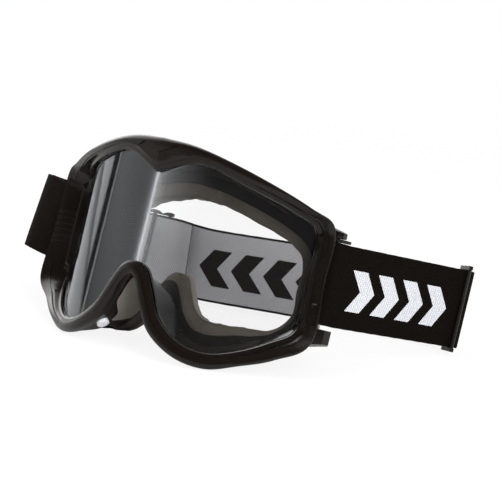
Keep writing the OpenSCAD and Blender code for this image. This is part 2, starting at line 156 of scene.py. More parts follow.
def frame_section(i):
    band = min(1.9 / math.dist(edge[i], lip[i]), 0.3)
    up = guard(i)
    lean = 0.06 if up else 0
    soft = [rim(i, -lean, lens_r + r + up * t) for r, t in ((0.3, 0), (1.1, 0.5))]
    soft += [rim(i, band * b - lean, lens_r + r + up)
             for b, r in ((0.12, 1.75), (0.45, 2.2), (1, 2.45), (1.15, 2.5))]
    soft += [front(i, band * 1.4, lens_r + 2.6 + up),
             front(i, band * 1.9, lens_r + 2.9 + up * 0.9)]
    soft += [front(i, s, r + up * t) for s, r, t in (
        (0.42, 91.15, 0.5), (0.55, 91.35, 0), (0.68, 91.4, 0), (0.8, 91.25, 0),
        (0.88, 90.95, 0), (0.94, 90.5, 0), (0.98, 89.9, 0), (1, 89.2, 0), (1, 88.4, 0))]
    soft += [rim(i, s, r + rise[i] * t)
             for s, r, t in ((0.985, 87.5, 0.85), (0.95, 86.4, 0.55), (0.9, 85.3, 0.22))]
    outer, back = rim(i, 0.84, seat_r), ring(i, 0, -wall_t)
    soft += [mix(outer, back, t) for t in (0, 0.1, 0.25, 0.4, 0.55, 0.7, 0.85, 0.96)]
    inner, inner_back = in_wall(i, 0, 0), in_wall(i, 1, 0)
    soft += [ring(i, -0.02, -wall_t), ring(i, -0.02, -0.4), ring(i, 0, 0), ring(i, 0.61, 0),
             ring(i, 0.62, -0.5), ring(i, 0.62, -1.4), ring(i, 0.6, -wall_t)]
    soft += [mix(inner_back, inner, t) for t in (0, 0.2, 0.4, 0.6, 0.8, 1)]
    return soft + [rim(i, 0, seat_r), rim(i, 0, 86.2), rim(i, 0.38, 86.2),
                   rim(i, 0.38, 87.8)]


def slab(bm, outline_pts, z0, z1, mirror=1):
    """An upright block on an outline of x, y points, added to a mesh being built."""
    low = [bm.verts.new((mirror * x, y, z0)) for x, y in outline_pts]
    high = [bm.verts.new((mirror * x, y, z1)) for x, y in outline_pts]
    n = len(low)
    faces = [bm.faces.new(low[::-1]), bm.faces.new(high)]
    faces += [bm.faces.new((low[i], low[(i + 1) % n], high[(i + 1) % n], high[i]))
              for i in range(n)]
    return faces


def circle(r, n, centre=(0, 0)):
    """Points of a circle, for a slab's outline."""
    return [(centre[0] + r * math.cos(a * 2 * math.pi / n),
             centre[1] + r * math.sin(a * 2 * math.pi / n)) for a in range(n)]


def soften(bm, width, segments=2, angle=30):
    """Rounds the edges of a mesh being built."""
    bmesh.ops.recalc_face_normals(bm, faces=bm.faces)
    sharp = [e for e in bm.edges if len(e.link_faces) == 2
             and e.calc_face_angle(0) > math.radians(angle)]
    bmesh.ops.bevel(bm, geom=sharp, offset=width, segments=segments, profile=0.6,
                    affect="EDGES", clamp_overlap=True)


def own_mesh(bm, name):
    """Turns a mesh built in the goggles' own frame into a piece in its place."""
    verts = [tuple(v.co) for v in bm.verts]
    bm.verts.index_update()
    faces = [[v.index for v in f.verts] for f in bm.faces]
    bm.free()
    return place_mesh(name, verts, faces)


def fused(piece, others, operation):
    """Cuts or joins other shapes into a piece and keeps only the result."""
    for other in others:
        step = piece.modifiers.new("cut", "BOOLEAN")
        step.operation, step.object, step.solver = operation, other, "EXACT"
    graph = bpy.context.evaluated_depsgraph_get()
    mesh = bpy.data.meshes.new_from_object(piece.evaluated_get(graph))
    piece.modifiers.clear()
    piece.data = mesh
    for other in others:
        bpy.data.objects.remove(other)
    return piece


goggle_frame = place_mesh("goggle_frame", [p for i in range(stations) for p in frame_section(i)],
                          loop_faces(stations, len(frame_section(0))), 32)
bar_at, pin_r = (81.3, 43.5), 1.2
upper_arm = [(70, 40), (76.8, 39.2), (83, 39.6), (84.8, 42), (84.4, 46), (81.6, 47.8),
             (76, 47.4), (69, 49)]
lower_arm = [(70, 40), (77, 38), (84, 38.6), (87, 42), (87.4, 47), (85.4, 49.6), (78, 50),
             (69, 51)]
arm_shapes = []
for side in (1, -1):
    for plan, level, way, tall in ((upper_arm, 20.8, 1, 2.8), (lower_arm, -23.2, -1, 7.4)):
        bm = bmesh.new()
        slab(bm, plan, level, level + way * (tall + 7), side)
        for x, h, run in ((94, tall - 2, 8.5 / 1.8), (85.5, tall - 0.2, 9.5 / 3.7),
                          (76, tall + 3.5, 10 / 3.5)):
            bmesh.ops.bisect_plane(bm, geom=bm.verts[:] + bm.edges[:] + bm.faces[:],
                                   plane_co=(side * x, 0, level + way * h),
                                   plane_no=(side, 0, way * run), clear_outer=True)
            bmesh.ops.holes_fill(bm, edges=bm.edges[:])
        soften(bm, 0.6, 3)
        arm_shapes.append(own_mesh(bm, "arm"))
fused(goggle_frame, arm_shapes, "UNION")


def wall_middle(x):
    return (lens_r - math.sqrt(seat_r ** 2 - x * x) + 34 + x * x / 190) / 2


vent_l, vent_w, brow_vents, cheek_vents = 15, 8, (10, 29, 48), (31, 51)
cutters = []
for x in brow_vents + cheek_vents:
    low = x in cheek_vents
    for side in (1, -1):
        bm = bmesh.new()
        y = wall_middle(x) - (3 if low else 0)
        slab(bm, [(x + a * vent_l / 2, y + b * vent_w / 2)
                  for a, b in ((-1, -1), (1, -1), (1, 1), (-1, 1))],
             -64 if low else 30, -40 if low else 60, side)
        upright = [e for e in bm.edges if abs(e.verts[0].co.z - e.verts[1].co.z) > 1]
        bmesh.ops.bevel(bm, geom=upright, offset=2, segments=4, profile=0.5, affect="EDGES")
        cutters.append(own_mesh(bm, "slot"))
for side in (1, -1):
    for low, high in ((19.8, 24.3), (-26.7, -22.2)):
        bm = bmesh.new()
        slab(bm, circle(pin_r, 24, bar_at), low, high, side)
        cutters.append(own_mesh(bm, "eye"))
    bm = bmesh.new()
    slab(bm, [(0, 34), (7, 39), (16, 41.6), (10, 45.6), (0, 41)], -10, 0.55, side)
    bmesh.ops.transform(bm, matrix=Matrix(((1, 0, 0, 0), (side * 0.083, 0, 1, -4),
                                           (0, 1, 0, 0), (0, 0, 0, 1))), verts=bm.verts)
    cutters.append(own_mesh(bm, "field"))
    centre = Vector((side * 19.4, 8.6, -44.4))
    lean = Matrix.Rotation(math.radians(side * 221), 4, "Y")
    for radius, low, high in ((3.1, 0, 4), (1.55, -6, 1)):
        bm = bmesh.new()
        bmesh.ops.create_cone(bm, cap_ends=True, segments=32, radius1=radius, radius2=radius,
                              depth=high - low)
        bmesh.ops.translate(bm, verts=bm.verts, vec=(0, 0, (low + high) / 2))
        bmesh.ops.transform(bm, matrix=Matrix.Translation(centre) @ lean, verts=bm.verts)
        cutters.append(own_mesh(bm, "seat"))
fused(goggle_frame, cutters, "DIFFERENCE")
goggle_frame.data.shade_smooth()
goggle_frame.data.set_sharp_from_angle(angle=math.radians(32))


class Tone:
    """One output of a finish's nodes, on which sums work as they do on numbers."""

    def __init__(self, tree, socket=None):
        self.tree, self.socket = tree, socket

    def node(self, kind, settings, values, out=0):
        n = self.tree.nodes.new("ShaderNode" + kind)
        for key, value in settings.items():
            if key == "stops":
                ramp = n.color_ramp
                while len(ramp.elements) < len(value):
                    ramp.elements.new(0.5)
                for element, (place, colour) in zip(ramp.elements, value):
                    element.position = place
                    element.color = (*colour, 1)
            else:
                setattr(n, key, value)
        for key, value in values.items():
            if isinstance(value, Tone):
                self.tree.links.new(value.socket, n.inputs[key])
            else:
                n.inputs[key].default_value = value
        return Tone(self.tree, n.outputs[out])

    def sum(self, operation, *values):
        return self.node("Math", {"operation": operation}, dict(enumerate(values)))

    def __add__(self, other):
        return self.sum("ADD", self, other)

    def __sub__(self, other):
        return self.sum("SUBTRACT", self, other)

    def __rsub__(self, other):
        return self.sum("SUBTRACT", other, self)

    def __mul__(self, other):
        return self.sum("MULTIPLY", self, other)

    def __truediv__(self, other):
        return self.sum("DIVIDE", self, other)

    __radd__, __rmul__ = __add__, __mul__

    def fract(self):
        return self.sum("FRACT", self)

    def size(self):
        return self.sum("ABSOLUTE", self)

    def wave(self, length):
        return self.sum("SINE", self * (2 * math.pi / length))

    def step(self, low, high):
        """0 below low, 1 above high and smooth between them."""
        return self.node("MapRange", {"interpolation_type": "SMOOTHSTEP", "clamp": True},
                         {0: self, 1: low, 2: high, 3: 0.0, 4: 1.0})

    def blend(self, colour_a, colour_b):
        """From the first colour to the second, as this goes from 0 to 1."""
        pair = [c if isinstance(c, Tone) else (*c, 1) for c in (colour_a, colour_b)]
        return self.node("Mix", {"data_type": "RGBA"}, {0: self, 6: pair[0], 7: pair[1]}, 2)

    def noise(self, where, scale, detail=3, rough=0.55):
        return self.node("TexNoise", {}, {"Vector": where, "Scale": scale, "Detail": detail,
                                          "Roughness": rough})

    def cell_walls(self, where, scale, wall):
        """The walls between a foam's open cells: 1 on them and 0 within the cells. The foam
        finishes paint the cells darker, as painted shade in the pores.
        """
        cells = self.node("TexVoronoi", {"feature": "DISTANCE_TO_EDGE"},
                          {"Vector": where, "Scale": scale})
        return 1 - cells.step(0.02, wall)

    def parts(self):
        split = self.node("SeparateXYZ", {}, {0: self})
        return [Tone(self.tree, o) for o in split.socket.node.outputs]

    def bump(self, height, strength=1.0, depth=0.0001, over=None):
        values = {"Height": height, "Strength": strength, "Distance": depth}
        if over:
            values["Normal"] = over
        return self.node("Bump", {}, values)


def finish(name):
    """A new material with one shader, and the place on the piece in mm."""
    material = bpy.data.materials.new(name)
    material.use_nodes = True
    tree = material.node_tree
    tone = Tone(tree)
    where = tone.node("TexCoord", {}, {}, 3)
    where = where.node("VectorMath", {"operation": "SCALE"}, {0: where, 3: 1000.0})
    return material, tone, where


def set_shader(material, **values):
    shader = material.node_tree.nodes["Principled BSDF"]
    for key, value in values.items():
        socket = shader.inputs[key.replace("_", " ")]
        if isinstance(value, Tone):
            material.node_tree.links.new(value.socket, socket)
        else:
            socket.default_value = value
    return material


def own_place(tone, where):
    """The place on the piece in the goggles' own frame, in mm."""
    c, s = math.cos(rest_tilt), math.sin(rest_tilt)
    x, y, z = where.parts()
    y, z = y + 71.4, z - 56.0015
    return x - 7.4, y * c - z * s, y * s + z * c


satin, tone, where = finish("satin_black_plastic")
x, y, z = own_place(tone, where)
cloud = tone.noise(where, 0.035, 4)
grain = tone.noise(where, 2.2, 2)
scuff = tone.noise(where, 0.5, 6, 0.7).step(0.62, 0.78)
temples = x.size().step(77, 78) * (1 - y.step(47, 48)) * (1 - (z + 3).size().step(9, 9.6))
grip = temples * z.wave(3.2).step(0.1, 0.5)
set_shader(satin, Base_Color=(cloud * 0.6 + scuff * 0.15).blend((0.0035, 0.0022, 0.0015),
                                                                (0.0085, 0.006, 0.0045)),
           Roughness=0.22 + cloud * 0.1 + scuff * 0.12, IOR=1.27,
           Normal=tone.bump(grain * 0.003 - grip * 0.4, 1.0, 0.001))
goggle_frame.data.materials.clear()
goggle_frame.data.materials.append(satin)
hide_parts("frame")
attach(goggle_frame, "goggle")

# Lens: a flat sheet of clear polycarbonate, cut to the rim's outline and bent into
# its groove. All that shows of it is what it mirrors and a faint, uneven haze.
clear, tone, where = finish("clear_polycarbonate")
gloss = tone.node("Fresnel", {}, {"IOR": 1.56})
haze = tone.noise(where, 0.03, 2)
set_shader(clear, Base_Color=(0.96, 0.98, 1.0, 1), Metallic=1.0, Roughness=0.06,
           Alpha=gloss + haze * 0.01)


def finished(name, material):
    """A node that keeps its own mesh and takes a finish."""
    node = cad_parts[name]
    for place in node.material_slots:
        place.material = material
    return node


lens = finished("lens", clear)


# Vent filters: thin sheets of open-cell foam glued behind the slots in the wall,
# one along the brow and one under each eye.
def strip(name, sections, sharp=50):
    """A piece swept through open sections, with both ends closed."""
    m = len(sections[0])
    faces = [[j for j in range(m - 1, -1, -1)],
             [(len(sections) - 1) * m + j for j in range(m)]]
    for i in range(len(sections) - 1):
        faces += [(i * m + j, i * m + (j + 1) % m, (i + 1) * m + (j + 1) % m, (i + 1) * m + j)
                  for j in range(m)]
    return place_mesh(name, [p for s in sections for p in s], faces, sharp)


def filter_section(i, low, high, gap):
    i %= stations
    return ([in_wall(i, low + (high - low) * t, gap) for t in (0, 0.25, 0.5, 0.75, 1)]
            + [in_wall(i, high, gap + 0.6), in_wall(i, high - 0.03, gap + 2.1)]
            + [in_wall(i, low + (high - low) * t, gap + 2.5 + 0.12 * math.sin(i * 1.9 + t * 9))
               for t in (0.92, 0.7, 0.5, 0.3, 0.08)]
            + [in_wall(i, low + 0.03, gap + 2.1), in_wall(i, low, gap + 0.6)])


foam_cells, tone, where = finish("filter_foam")
walls = tone.cell_walls(where, 1.1, 0.22)
cloud = tone.noise(where, 0.12, 3)
set_shader(foam_cells, Roughness=0.98, Specular_IOR_Level=0.15,
           # The colour is darker within the cells than on their walls: painted shade in the open
           # pores.
           Base_Color=(walls * 0.5 + cloud * 0.4).blend((0.004, 0.0035, 0.003),
                                                        (0.03, 0.022, 0.015)),
           Normal=tone.bump(walls, 0.5, 0.0004))
brow_filter = strip("brow_filter", [filter_section(i, 0.2, 0.84, 0.45) for i in range(-30, 31)])
brow_filter.data.materials.append(foam_cells)
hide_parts("upper_vent_filter")
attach(brow_filter, "goggle")
for name, stretch in (("left_cheek_filter", range(87, 124)),
                      ("right_cheek_filter", range(-87, -124, -1))):
    pad = strip(name, [filter_section(i, 0.2, 0.8, 0.3) for i in stretch])
    pad.data.materials.append(foam_cells)
    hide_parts("lower_vent_filters")
    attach(pad, "goggle")

# Face foam: a thick base layer of open-cell foam, glued to the ring's flange all the
# way round. Its cut sides bulge a little and show their cells.
foam_t, glue_t, fleece_t = 8.5, 0.3, 5
base_foam, tone, where = finish("base_foam")
walls = tone.cell_walls(where, 1.5, 0.2)
cloud = tone.noise(where, 0.08, 4)
set_shader(base_foam, Roughness=0.98, Specular_IOR_Level=0.2,
           # The cells are painted a little darker than their walls: painted shade in the open
           # pores, over a random cloud of tone.
           Base_Color=(walls * 0.2 + cloud * 0.7).blend((0.035, 0.03, 0.025),
                                                        (0.13, 0.113, 0.093)),
           Normal=tone.bump(walls * 0.5 + cloud, 0.6, 0.0004))


def foam_section(i):
    wob = 0.012 * math.sin(i * 0.37) + 0.008 * math.sin(i * 0.91 + 2)
    return ([ring(i, s, glue_t) for s in (0.03, 0.3, 0.7, 0.97)]
            + [ring(i, 1 + b + wob, glue_t + foam_t * h)
               for b, h in ((0.0, 0.12), (0.02, 0.35), (0.025, 0.55), (0.015, 0.8))]
            + [ring(i, s, foam_t) for s in (0.98, 0.7, 0.3, 0.02)]
            + [ring(i, -b - wob, glue_t + foam_t * h)
               for b, h in ((0.015, 0.8), (0.025, 0.55), (0.02, 0.35), (0.0, 0.12))])


face_foam = place_mesh("face_foam_base", [p for i in range(stations) for p in foam_section(i)],
                       loop_faces(stations, len(foam_section(0))), 60)
face_foam.data.materials.append(base_foam)
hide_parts("face_foam")
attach(face_foam, "goggle")

# Face fleece: the soft layer against the skin, a brushed fabric over thin foam. It is
# heat-pressed, so its edges are rolled and its middle is crowned.
fleece, tone, where = finish("brushed_fleece")
nap = tone.noise(where, 1.4, 6, 0.75)
tuft = tone.noise(where, 0.35, 3)
fibre = tone.noise(where, 5.5, 4, 0.7)
set_shader(fleece, Base_Color=(nap * 0.55 + tuft * 0.5).blend((0.07, 0.06, 0.05),
                                                              (0.24, 0.21, 0.175)),
           Roughness=0.98, Specular_IOR_Level=0.2, Sheen_Weight=0.2, Sheen_Roughness=0.5,
           Normal=tone.bump(nap * 0.7 + fibre * 0.5 + tuft * 0.6, 1.0, 0.0008))


def fleece_section(i):
    low = foam_t + glue_t
    wob = 0.02 * math.sin(i * 0.53) + 0.012 * math.sin(i * 1.31 + 1)
    puff = 1 + 0.03 * math.sin(i * 0.41) + 0.02 * math.sin(i * 1.13)
    rows = ((0.03, 0), (0.005, 0.2), (0.0, 0.4), (0.03, 0.62), (0.1, 0.83), (0.22, 0.95),
            (0.4, 1), (0.6, 1), (0.78, 0.97), (0.92, 0.86), (0.99, 0.7), (1.03, 0.5),
            (1.035, 0.3), (1.02, 0.12), (0.98, 0))
    return [ring(i, s + (wob if 0.2 < h < 0.9 and s > 0.5 else 0),
                 low + fleece_t * h * (puff if h > 0.9 else 1)) for s, h in rows]


face_fleece = place_mesh("face_fleece_layer",
                         [p for i in range(stations) for p in fleece_section(i)],
                         loop_faces(stations, len(fleece_section(0))), 70)
face_fleece.data.materials.append(fleece)
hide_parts("face_fleece")
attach(face_fleece, "goggle")

# Nose pad: a thin sheet of the fleece glued to the underside of the frame's wall, all
# round the nose. It is cut back beside the two studs.
def pad_section(i):
    outer, back = rim(i, 0.84, seat_r), ring(i, 0, -wall_t)
    out = Vector(mix(outer, back, 0.5)) - Vector(in_wall(i, 0.5, 0))
    out.normalize()
    cut = min(1, max(0, (abs(i - stations // 2) - 24) / 11))
    near = 0.03 + 0.35 * cut * cut * (3 - 2 * cut)
    rows = [(t, 0.15) for t in (near + 0.01, 0.5, 0.7, 0.98)]
    rows += [(0.995, 0.7)] + [(t, 1.5 + 0.1 * math.sin(i * 0.7 + t * 11))
                              for t in (0.97, 0.8, 0.65, near + 0.15, near + 0.09)]
    rows += [(near + 0.015, 1.1), (near, 0.6)]
    return [tuple(Vector(mix(outer, back, t)) + out * d) for t, d in rows]


nose_pad = strip("nose_pad", [pad_section(i) for i in range(130, 207)])
nose_pad.data.materials.append(fleece)
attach(nose_pad, "goggle")

# Nose studs: two small push-in studs of clear plastic beside the nose, with a slot
# across the head. They can hold a nose guard.
milky, tone, where = finish("milky_plastic")
cloud = tone.noise(where, 0.6, 3)
set_shader(milky, Base_Color=cloud.blend((0.62, 0.64, 0.66), (0.82, 0.84, 0.85)),
           Roughness=0.22 + cloud * 0.1, Subsurface_Weight=0.3, Subsurface_Scale=0.002,
           Coat_Weight=0.2, Normal=tone.bump(cloud, 1.0, 0.0001))
studs = finished("nose_studs", milky)

# Hinge pins: four drawn steel pins, pushed through the eyes of the frame's arms into
# the bored ends of the clips' bars.
steel, tone, where = finish("drawn_steel")
draw = tone.noise(where, 3, 2)
set_shader(steel, Base_Color=draw.blend((0.42, 0.42, 0.43), (0.6, 0.6, 0.61)), Metallic=1.0,
           Roughness=0.28 + draw * 0.15, Normal=tone.bump(draw, 1.0, 0.00004))
pins = finished("hinge_pins", steel)

# Strap clips: one black moulding at each side. The strap rounds its bar, whose bored
# ends turn on the pins. A web closes each end and a tongue lies between the strands.
clip_low, clip_high = -22.9, 20.5
grained, tone, where = finish("grained_black_plastic")
cloud = tone.noise(where, 0.06, 4)
grain = tone.node("TexVoronoi", {}, {"Vector": where, "Scale": 2.6})
rub = tone.noise(where, 0.7, 6, 0.7).step(0.6, 0.75)
set_shader(grained, Base_Color=(cloud * 0.5 + rub * 0.3).blend((0.0055, 0.0042, 0.0033),
                                                               (0.0145, 0.012, 0.0098)),
           Roughness=0.34 + cloud * 0.12 - rub * 0.06, IOR=1.3,
           Normal=tone.bump(grain * 0.5 + cloud, 1.0, 0.00012))


def clip_mesh(name, side, swing):
    bm = bmesh.new()
    slab(bm, circle(2.2, 40), clip_low, clip_high, side)
    web = smooth([(-1.2, 6), (-3, 2.4), (-3, -1.6), (-1.6, -3.2), (1.8, -3.6), (4.2, -1.6),
                  (4.4, 2.6), (3.6, 5.6), (1.6, 6.6), (-1.2, 6), (-3, 2.4), (-3, -1.6)], 4)[:-1]
    for z0, z1 in ((clip_low, clip_low + 1.4), (clip_high - 1.4, clip_high)):
        slab(bm, web, z0, z1, side)
    slab(bm, [(-0.6, 0), (0.6, 0), (0.6, 5), (-0.6, 5)], clip_low, clip_high, side)
    soften(bm, 0.25, 2, 50)
    bmesh.ops.transform(bm, matrix=Matrix.Translation((side * bar_at[0], bar_at[1], 0))
                        @ Matrix.Rotation(math.radians(-side * swing), 4, "Z"), verts=bm.verts)
    body = own_mesh(bm, name)
    bores = []
    for z0, z1 in ((clip_low - 1, clip_low + 3.2), (clip_high - 3.2, clip_high + 1)):
        bm = bmesh.new()
        slab(bm, circle(pin_r + 0.06, 24, bar_at), z0, z1, side)
        bores.append(own_mesh(bm, "bore"))
    fused(body, bores, "DIFFERENCE")
    body.data.shade_smooth()
    body.data.set_sharp_from_angle(angle=math.radians(35))
    return body


for side, name, swing in ((1, "left_clip", 8.2), (-1, "right_clip", 80)):
    clip = clip_mesh(name + "_moulding", side, swing)
    clip.data.materials.clear()
    clip.data.materials.append(grained)
    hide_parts(name)
    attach(clip, name)

# Sliders: flat three-bar slides of black plastic, through which the strap doubles
# back. Rounded bumps at both ends guard the edges of the webbing.
for side in ("left", "right"):
    slider = finished(side + "_slider", grained)
    weld = slider.modifiers.new("weld", "WELD")
    weld.merge_threshold = 0.00002
    round_edges = slider.modifiers.new("round", "BEVEL")
    round_edges.width, round_edges.segments = 0.0003, 2
    round_edges.limit_method, round_edges.angle_limit = "ANGLE", math.radians(50)

# Strap: one length of 40 mm woven elastic that rounds each clip's bar and comes back
# to its slider. Pale chevrons are woven into its black outside, and its grey inside
# shows them in black. Each stretch is its own piece here.
strap_w, strap_t, layer = 40, 1.3, 1.9
strap_z, loop_r, run_l = -1.2, 3.15, 90
flare = math.radians(8.2)
run_dir, run_out = (math.sin(flare), math.cos(flare)), (math.cos(flare), -math.sin(flare))
run_start = (bar_at[0] + run_out[0] * loop_r, bar_at[1] + run_out[1] * loop_r)
left_at = (run_start[0] + run_dir[0] * run_l - 3.8, run_start[1] + run_dir[1] * run_l + 12.2)
left_z, right_z, right_at = 2.8, -4.8, (-79, 101.5)
pass_in, pitch = 1.95, 8.5
pass_out = pass_in + layer


def left_pt(s, n, z=left_z, lean=0):
    a = math.radians(43)
    return (left_at[0] - s * math.sin(a) + n * math.cos(a),
            left_at[1] + s * math.cos(a) + n * math.sin(a), z, lean)


def right_pt(s, n, z=right_z, lean=0):
    a = math.radians(-62)
    return (right_at[0] - s * math.sin(a) - n * math.cos(a),
            right_at[1] + s * math.cos(a) - n * math.sin(a), z, lean)


def left_run(t, off):
    return (run_start[0] + run_dir[0] * t - run_out[0] * off,
            run_start[1] + run_dir[1] * t - run_out[1] * off,
            strap_z + 4 * max(t - 8, 0) / (run_l + 2), 0)


def bow(off):
    """The way of the right run, which bows out before it turns back."""
    return [(-bar_at[0], bar_at[1] - loop_r + off * 2 * loop_r / layer, strap_z, 0),
            (-86.8, 41 + 3 * off, strap_z, 0), (-96, 41.2 + 1.6 * off, -0.2, -0.25),
            (-106.4 + 0.2 * off, 42.6 + 1.1 * off, 1.5, -0.5),
            (-113 + 0.8 * off, 46.6 + 0.8 * off, 2.2, -0.55), (-115.6 + off, 55, 2, -0.55),
            (-114 + off, 66, 1.2, -0.4), (-109 + 0.9 * off, 77 - 0.5 * off, -0.8, -0.2),
            (-100.8 + 0.7 * off, 87.4 - 0.8 * off, -3, 0),
            right_pt(-pitch - 5.6, -pass_in - off)]


def route(pts, n):
    return smooth([mix(pts[1], pts[0], 2)] + pts + [mix(pts[-2], pts[-1], 2)], n)


def lengths(way):
    out = [0.0]
    for a, b in zip(way, way[1:]):
        out.append(out[-1] + math.dist(a[:3], b[:3]))
    return out


def webbing(name, way, start, outer=1, first=0, last=None):
    """Webbing on edge along its way, or part of it, that keeps its places on the strap."""
    across = [-1, -0.99, -0.965, -0.93, -0.8, -0.6, -0.4, -0.2, 0, 0.2, 0.4, 0.6, 0.8, 0.93,
              0.965, 0.99, 1]
    thick = [0.35, 0.75, 0.98, 0.9] + [1.0] * 9 + [0.9, 0.98, 0.75, 0.35]
    along = lengths(way)
    last = len(way) - 1 if last is None else last
    verts, thread = [], []
    for i in range(first, last + 1):
        p, a, b = way[i], way[max(i - 1, 0)], way[min(i + 1, len(way) - 1)]
        dx, dy = b[0] - a[0], b[1] - a[1]
        d = math.hypot(dx, dy)
        side = Vector((dy / d, -dx / d, 0))
        lean = p[3] * rest_tilt
        up = Vector((0, -math.sin(lean), math.cos(lean)))
        for face in (1, -1):
            for v, t in zip(across, thick):
                fray = 0.06 * math.sin(along[i] * 2.1 + 9 * face) * (abs(v) > 0.97)
                q = (Vector(p[:3]) + up * (v * (strap_w / 2 - 0.1) + fray)
                     + side * (face * t * (strap_t / 2 - 0.06)))
                verts.append(tuple(q))
                thread.append((start + along[i], v * 20, face * outer))
    m = len(across)
    row = 2 * m
    ring_order = list(range(m)) + [2 * m - 1 - k for k in range(m)]
    faces = []
    for i in range(last - first):
        for j in range(row):
            a, b = ring_order[j], ring_order[(j + 1) % row]
            faces.append((i * row + a, i * row + b, (i + 1) * row + b, (i + 1) * row + a))
    for i in (0, last - first):
        for j in range(m - 1):
            faces.append((i * row + j, i * row + j + 1, i * row + m + j + 1, i * row + m + j))
    piece = place_mesh(name, verts, faces, 60)
    layer_data = piece.data.attributes.new("thread", "FLOAT_VECTOR", "POINT")
    layer_data.data.foreach_set("vector", [c for t in thread for c in t])
    return piece


def webbing_finish(name, first, last):
    """Woven elastic with its first to last chevron, twill ribs, selvedges and fuzz."""
    material, tone, where = finish(name)
    u, v, face = tone.node("Attribute", {"attribute_name": "thread"}, {}, 1).parts()
    outside = face.step(-0.2, 0.2)
    twill = (u * 1.0 + v * 0.9).wave(1.5)
    rib = v.wave(1.05)
    pick = u.wave(0.62)
    weave = twill * 0.5 + rib * 0.3 + pick * 0.25
    count = (u + (v + 1).size() * 0.8) / 18.5
    chevron = count.fract()
    which = count - chevron
    place = which.step(first - 0.6, first - 0.4) * (1 - which.step(last + 0.4, last + 0.6))
    bars = chevron.step(0.05, 0.07) * (1 - chevron.step(0.62, 0.64))
    height = 1 - (v + 1).size().step(9.8, 10.3)
    ragged = tone.noise(where, 2.5, 2) * 0.4
    figure = (place * bars * height + ragged * 0.3).step(0.45, 0.62)
    edge_band = v.size().step(18.6, 19.0)
    lightness = outside * figure + (1 - outside) * (1 - figure) * 0.9
    lightness = lightness * (1 - edge_band)
    fuzz = tone.noise(where, 3.2, 4, 0.7)
    dark = (fuzz * 0.8).blend((0.0022, 0.0014, 0.001), (0.007, 0.005, 0.004))
    grey = (twill * 0.2 + fuzz * 0.9).blend((0.17, 0.17, 0.18), (0.37, 0.37, 0.38))
    white = (twill * 0.3 + fuzz * 0.8).blend((0.36, 0.37, 0.4), (0.66, 0.67, 0.7))
    light = outside.blend(grey, white)
    set_shader(material, Base_Color=lightness.step(0.2, 0.8).blend(dark, light), Roughness=0.95,
               Specular_IOR_Level=0.05,
               Normal=tone.bump(weave + fuzz * 0.5 + edge_band * 0.4, 0.8, 0.00018))
    return material


black_figure = webbing_finish("left_webbing", 1, 4)
grey_figure = webbing_finish("rear_webbing", 9, 13)
plain_black = webbing_finish("right_webbing", 900, 900)


def dressed(piece, material, *nodes):
    piece.data.materials.append(material)
    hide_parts(*nodes)
    return piece


def turn(opening, side=1):
    """The strap's half turn round a clip's bar."""
    pts = []
    for k in range(17):
        a = math.radians(opening - 180 * k / 16)
        pts.append((side * (bar_at[0] + loop_r * math.cos(a)), bar_at[1] + loop_r * math.sin(a),
                    strap_z, 0))
    return pts


# Left side: the turn rides on the clip, the run and its return reach from the clip to the slider,
# each in a front and a rear piece fixed where it lies, and the crossing and the cut tail ride on
# the slider.
half = 43
for label, off, start in (("run", 0, 0), ("return", layer, 300)):
    if off:
        pts = [left_run(0, 2 * loop_r), left_run(8, 2 * loop_r - 1.2),
               left_run(22, layer + 0.3), left_run(40, layer), left_run(run_l, layer)]
        way = route(pts, 8)
    else:
        way = [left_run(run_l * k / 40, 0) for k in range(41)]
    middle = min(range(len(way)), key=lambda k: abs(way[k][1] - left_run(half, off)[1]))
    for part, first, last in (("front", 0, middle), ("rear", middle, len(way) - 1)):
        piece = webbing("left_%s_%s" % (label, part), way, start, 1, first, last)
        dressed(piece, black_figure, "left_strap_" + label)
        if part == "front":
            at_rest(left_run(2, 1))
            at_rest(left_run(38, 1))
            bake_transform(piece)
        else:
            at_rest(left_run(46, 1))
            at_rest(left_run(86, 1))
            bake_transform(piece)
piece = dressed(webbing("left_turn", turn(-8.2), -8, -1), black_figure, "left_strap_loop")
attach(piece, "left_clip")
way = route([left_run(run_l, 0), left_pt(-pitch + 1.5, -1.3), left_pt(-pitch / 2, 1.9),
             left_pt(0, pass_out + 0.05), left_pt(pitch * 0.61, 0.7),
             left_pt(pitch - 0.1, -pass_in - 0.2), left_pt(pitch + 3, -pass_in - 0.2)], 6)
piece = dressed(webbing("left_crossing", way, 86), black_figure, "left_strap_crossing")
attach(piece, "left_slider")
way = route([left_run(run_l, layer), left_pt(-pitch + 2.9, -2.6), left_pt(-2.7, 0.4),
             left_pt(0, pass_in + 0.2), left_pt(3, -0.6), left_pt(pitch, -pass_out - 0.05),
             left_pt(pitch + 6, -pass_out - 3), left_pt(pitch + 10, -pass_out - 9.3)], 6)
piece = dressed(webbing("left_tail", way, 386), black_figure, "left_strap_tail")
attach(piece, "left_slider")

# Rear strap: the stretch behind the head, in two halves that meet at its middle.
way = route([left_pt(pitch + 3, -pass_in - 0.2),
             left_pt(pitch + 8.5, -pass_in - 1.4, left_z, 0.1),
             (69, 151.5, 2, 0.3), (46, 140, 0, 0.85), (0, 126, -2.4, 1), (-42, 114, -5.2, 1),
             right_pt(pitch + 9, -pass_in + 1.4, right_z, 0.3),
             right_pt(pitch + 3, -pass_in + 0.1)], 10)
middle = len(way) // 2
left_half = dressed(webbing("rear_strap_left", way, 110, 1, 0, middle), grey_figure,
                    "rear_strap")
at_rest(way[middle - 4])
at_rest(way[6])
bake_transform(left_half)
right_half = dressed(webbing("rear_strap_right", way, 110, 1, middle), grey_figure,
                     "rear_strap")
at_rest(way[middle + 4])
at_rest(way[-7])
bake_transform(right_half)

